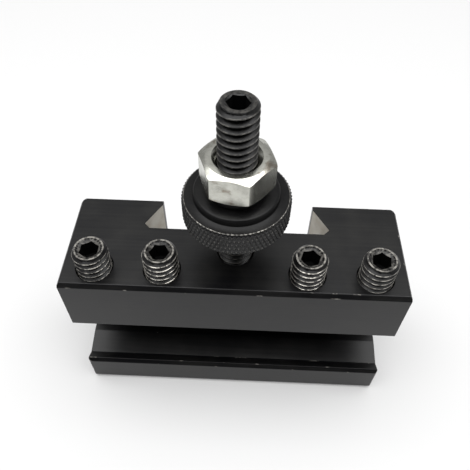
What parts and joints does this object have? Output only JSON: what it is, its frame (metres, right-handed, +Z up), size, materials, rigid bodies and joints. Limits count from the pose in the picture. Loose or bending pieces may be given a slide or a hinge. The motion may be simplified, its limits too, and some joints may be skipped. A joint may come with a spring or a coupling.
{
  "type": "quick change tool holder",
  "caption": "Slotted steel lathe tool holder with a dovetail groove down its back, set screws over the slot and a knurled height nut on a stud.",
  "frame": {"origin": "centre of the block's footprint, on the level of its bottom face", "axes": "+X along the tool slot, -Y towards the slot's open side, +Y towards the dovetail groove, +Z up along the height stud"},
  "size_m": [0.0636, 0.0222, 0.0707],
  "materials": {
    "black_oxide_steel": "milled and blackened, satin, with ground bare flanks in the dovetail",
    "black_screw_steel": "black oxide on alloy steel, thread crests rubbed bright",
    "knurled_steel": "turned and diamond knurled, blackened, crests rubbed bright",
    "zinc_plate": "bright zinc plated steel"
  },
  "bodies": {
    "holder": {"holder_body": "black_oxide_steel", "height_stud": "black_screw_steel"},
    "set_screw_1": {"set_screw_1": "black_screw_steel"},
    "set_screw_2": {"set_screw_2": "black_screw_steel"},
    "set_screw_3": {"set_screw_3": "black_screw_steel"},
    "set_screw_4": {"set_screw_4": "black_screw_steel"},
    "thumb_nut": {"thumb_nut": "knurled_steel"},
    "lock_nut": {"lock_nut": "zinc_plate"}
  },
  "joints": [
    {"name": "set_screw_1_travel", "type": "slide", "parent": "holder", "child": "set_screw_1", "axis": [0, 0, -1], "range_m": [-0.004, 0.012]},
    {"name": "set_screw_2_travel", "type": "slide", "parent": "holder", "child": "set_screw_2", "axis": [0, 0, -1], "range_m": [-0.004, 0.012]},
    {"name": "set_screw_3_travel", "type": "slide", "parent": "holder", "child": "set_screw_3", "axis": [0, 0, -1], "range_m": [-0.004, 0.012]},
    {"name": "set_screw_4_travel", "type": "slide", "parent": "holder", "child": "set_screw_4", "axis": [0, 0, -1], "range_m": [-0.004, 0.012]},
    {"name": "thumb_nut_travel", "type": "slide", "parent": "holder", "child": "thumb_nut", "axis": [0, 0, 1], "range_m": [-0.0103, 0.0045]},
    {"name": "lock_nut_travel", "type": "slide", "parent": "thumb_nut", "child": "lock_nut", "axis": [0, 0, 1], "range_m": [0, 0.005]}
  ]
}
